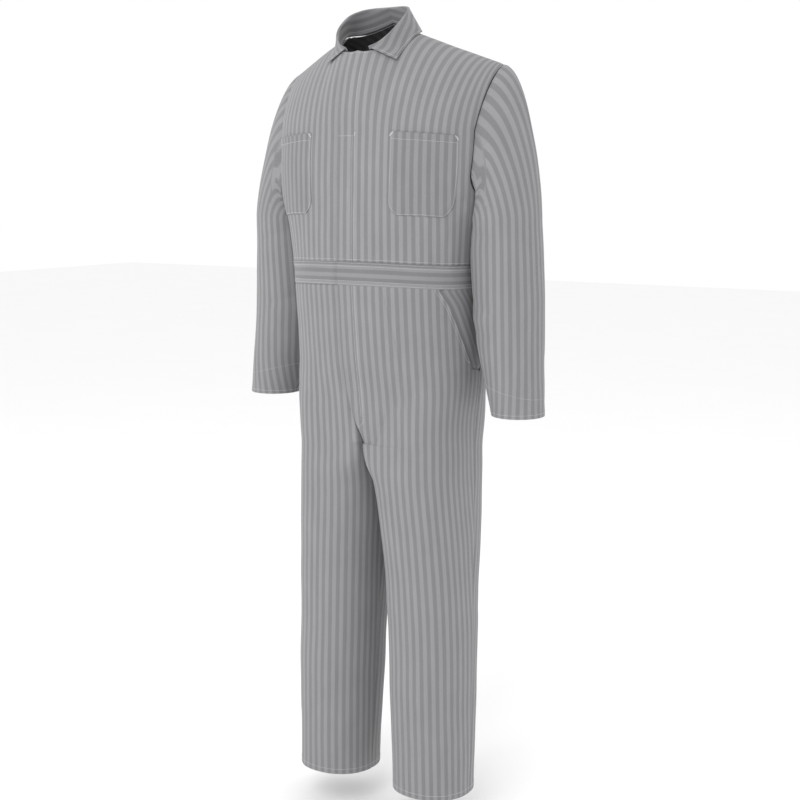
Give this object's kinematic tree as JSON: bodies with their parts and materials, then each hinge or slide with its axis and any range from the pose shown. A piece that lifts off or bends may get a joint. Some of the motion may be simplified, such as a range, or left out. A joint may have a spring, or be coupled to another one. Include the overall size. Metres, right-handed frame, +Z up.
{
  "type": "boiler suit",
  "caption": "Long-sleeved work coverall in grey herringbone cotton with folded collar, covered front, patch chest pockets, waistband and straight legs, in worn form.",
  "frame": {"origin": "midway between the wearer's shoulders, where the suit hangs", "axes": "+Z up, -Y the wearer's front, +X the wearer's left"},
  "size_m": [0.7, 0.318, 1.6168],
  "materials": {
    "herringbone_cloth": "matt striped herringbone cotton twill",
    "trim_cloth": "matt striped herringbone cotton twill, cut across or in two layers",
    "thread": "pale sewing thread"
  },
  "bodies": {
    "root": {"left_front": "herringbone_cloth", "right_front": "herringbone_cloth", "back": "herringbone_cloth", "waistband_left": "trim_cloth", "waistband_right": "trim_cloth", "waistband_back": "trim_cloth", "left_chest_pocket": "trim_cloth", "right_chest_pocket": "trim_cloth", "left_hip_pocket": "trim_cloth", "right_hip_pocket": "trim_cloth", "collar": "trim_cloth", "left_sleeve": "herringbone_cloth", "right_sleeve": "herringbone_cloth", "left_leg_front": "herringbone_cloth", "left_leg_back": "herringbone_cloth", "right_leg_front": "herringbone_cloth", "right_leg_back": "herringbone_cloth"}
  },
  "joints": []
}
